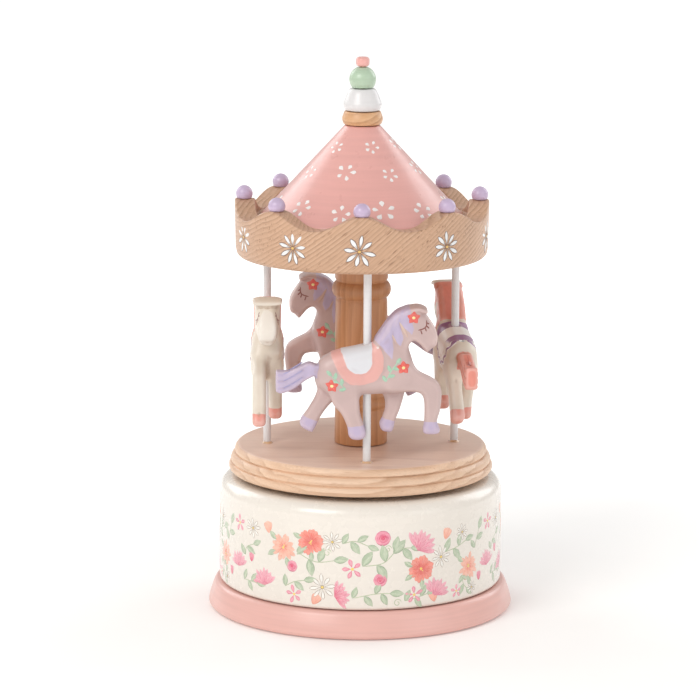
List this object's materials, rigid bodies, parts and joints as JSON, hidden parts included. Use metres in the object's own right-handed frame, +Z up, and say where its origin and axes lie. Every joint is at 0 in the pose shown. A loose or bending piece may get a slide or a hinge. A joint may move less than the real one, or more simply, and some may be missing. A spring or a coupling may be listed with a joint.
{
  "type": "carousel music box",
  "caption": "Wooden carousel music box: horses on poles under a scalloped canopy and cone roof, turned by a wind-up musical movement in a round drum.",
  "frame": {"origin": "on the turning axis, at the surface that the box stands on", "axes": "+Z up along the turning axis, -Y to the front, +X to the front's right"},
  "size_m": [0.11, 0.11, 0.1989],
  "materials": {
    "pink_paint": "satin pink paint on turned wood",
    "cream_paint": "satin cream lacquer with a painted floral band on turned wood",
    "roof_paint": "satin pink paint with small white flowers on turned wood",
    "lilac_paint": "satin lilac paint on turned wood",
    "mauve_paint": "hand-painted resin, mauve pink with a lilac mane and tail",
    "ivory_paint": "hand-painted resin, ivory with a coral mane and tail",
    "white_paint": "satin white paint on turned wood",
    "green_paint": "satin mint-green paint on turned wood",
    "beech": "clear-lacquered beech",
    "turned_wood": "clear-lacquered turned hardwood",
    "plywood": "raw plywood",
    "felt": "wool felt",
    "brass": "satin brass",
    "steel": "satin steel",
    "cast_metal": "zinc casting",
    "nylon": "natural nylon"
  },
  "bodies": {
    "base": {"plinth": "pink_paint", "felt_ring": "felt", "winding_stem": "steel", "stem_nut": "steel"},
    "drum": {"drum_shell": "cream_paint", "drum_floor": "plywood", "floor_screw_1": "steel", "floor_screw_2": "steel", "floor_screw_3": "steel", "lower_thrust_ring": "nylon", "upper_thrust_washer": "nylon", "shaft_bush": "brass", "clutch_spring": "steel", "bedplate": "cast_metal", "bedplate_screw_1": "steel", "bedplate_screw_2": "steel", "bedplate_screw_3": "steel", "comb": "steel", "comb_rest": "cast_metal", "comb_screw_1": "steel", "comb_screw_2": "steel", "bearing_left": "brass", "bearing_right": "brass", "governor_frame": "brass"},
    "carousel": {"barrel": "brass", "barrel_lid": "brass", "mainspring": "steel", "output_shaft": "steel", "hub_flange": "brass", "turntable": "beech", "column": "turned_wood", "canopy": "beech", "roof_cone": "roof_paint", "finial_dowel": "plywood", "finial_collar": "beech", "finial_skirt": "white_paint", "finial_ball": "green_paint", "finial_tip": "pink_paint", "knob_1": "lilac_paint", "knob_2": "lilac_paint", "knob_3": "lilac_paint", "knob_4": "lilac_paint", "knob_5": "lilac_paint", "knob_6": "lilac_paint", "knob_7": "lilac_paint", "knob_8": "lilac_paint", "pole_front": "white_paint", "pole_right": "white_paint", "pole_back": "white_paint", "pole_left": "white_paint", "horse_front": "mauve_paint", "horse_right": "ivory_paint", "horse_back": "mauve_paint", "horse_left": "ivory_paint"},
    "cylinder": {"tune_cylinder": "brass", "pinion_arbor": "steel", "cylinder_wheel": "brass"},
    "governor": {"governor_arbor": "steel"},
    "fly": {"fly": "steel"}
  },
  "joints": [
    {"name": "winding", "type": "hinge", "parent": "base", "child": "drum", "pos_m": [0, 0, 0.0104], "axis": [0, 0, 1], "continuous": true},
    {"name": "carousel_spin", "type": "hinge", "parent": "drum", "child": "carousel", "pos_m": [0, 0, 0.0497], "axis": [0, 0, 1], "continuous": true},
    {"name": "cylinder_spin", "type": "hinge", "parent": "drum", "child": "cylinder", "pos_m": [0.0242, 0, 0.0286], "axis": [1, 0, 0], "continuous": true},
    {"name": "governor_spin", "type": "hinge", "parent": "drum", "child": "governor", "pos_m": [0.03, 0.0103, 0.0286], "axis": [1, 0, 0], "continuous": true},
    {"name": "fly_spin", "type": "hinge", "parent": "drum", "child": "fly", "pos_m": [0.029, 0.0143, 0.0286], "axis": [0, 0, 1], "continuous": true}
  ],
  "couplings": [
    {"joint": "cylinder_spin", "follows": "carousel_spin", "ratio": 4},
    {"joint": "governor_spin", "follows": "carousel_spin", "ratio": -9.6},
    {"joint": "fly_spin", "follows": "carousel_spin", "ratio": 76.8}
  ]
}
